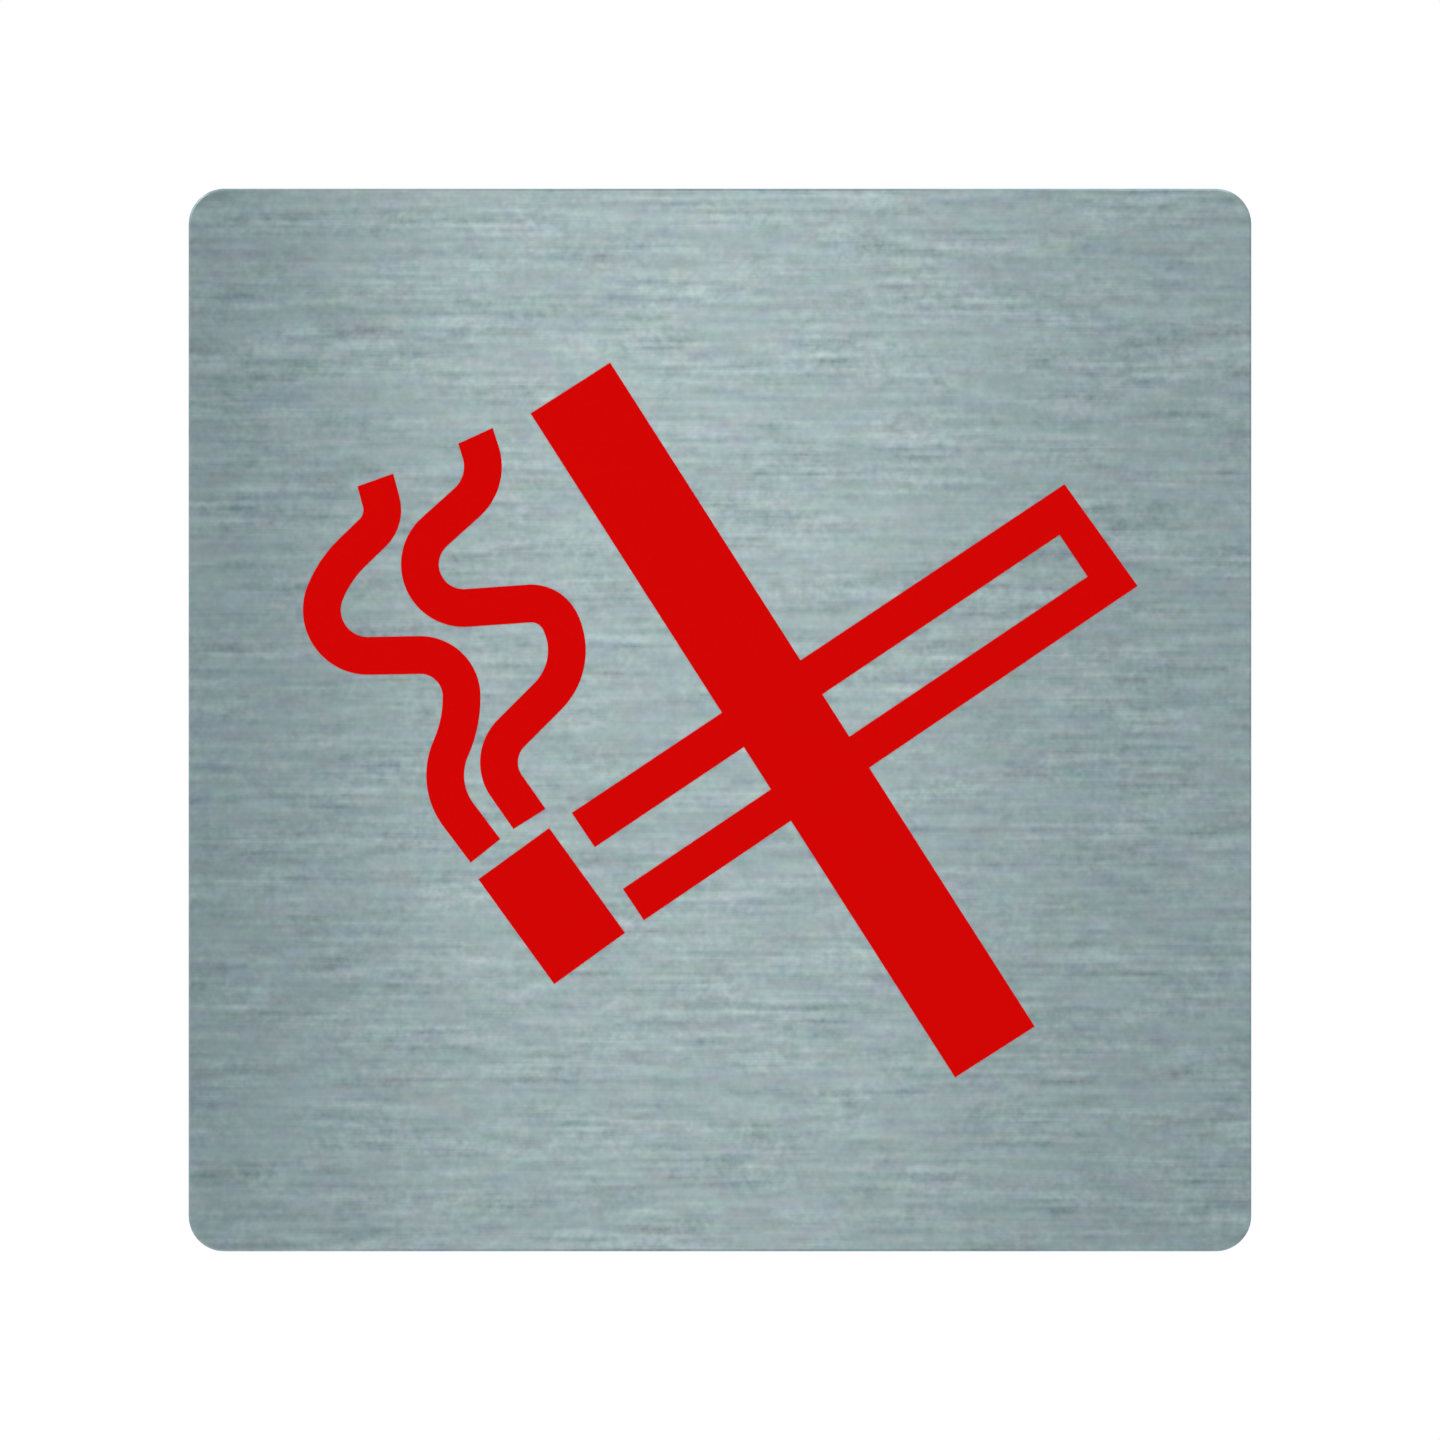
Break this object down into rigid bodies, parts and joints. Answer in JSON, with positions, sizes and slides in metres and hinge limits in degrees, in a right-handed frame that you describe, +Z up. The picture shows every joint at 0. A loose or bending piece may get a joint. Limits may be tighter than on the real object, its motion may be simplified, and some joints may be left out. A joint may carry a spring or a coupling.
{
  "type": "no smoking sign",
  "caption": "Square brushed metal wall sign with rounded corners, a struck-out smoking cigarette in red film on the front and foam tape strips on the back.",
  "frame": {"origin": "middle of the sign on the wall plane, which is the outer face of the centre strip of tape", "axes": "+X to the reader's right, +Z up the sign, +Y from the sign into the wall; the pictogram faces -Y"},
  "size_m": [0.09, 0.0026, 0.09],
  "materials": {
    "brushed_steel_plate": "stainless steel sheet brushed from side to side, with a cool blue-grey sheen",
    "red_film": "cut self-adhesive film, even signal red, low sheen",
    "foam_tape": "white closed-cell foam tape, adhesive on both faces"
  },
  "bodies": {
    "root": {"plate": "brushed_steel_plate", "cigarette_and_bar": "red_film", "ember": "red_film", "smoke_left": "red_film", "smoke_right": "red_film", "tape_left": "foam_tape", "tape_centre": "foam_tape", "tape_right": "foam_tape"}
  },
  "joints": []
}
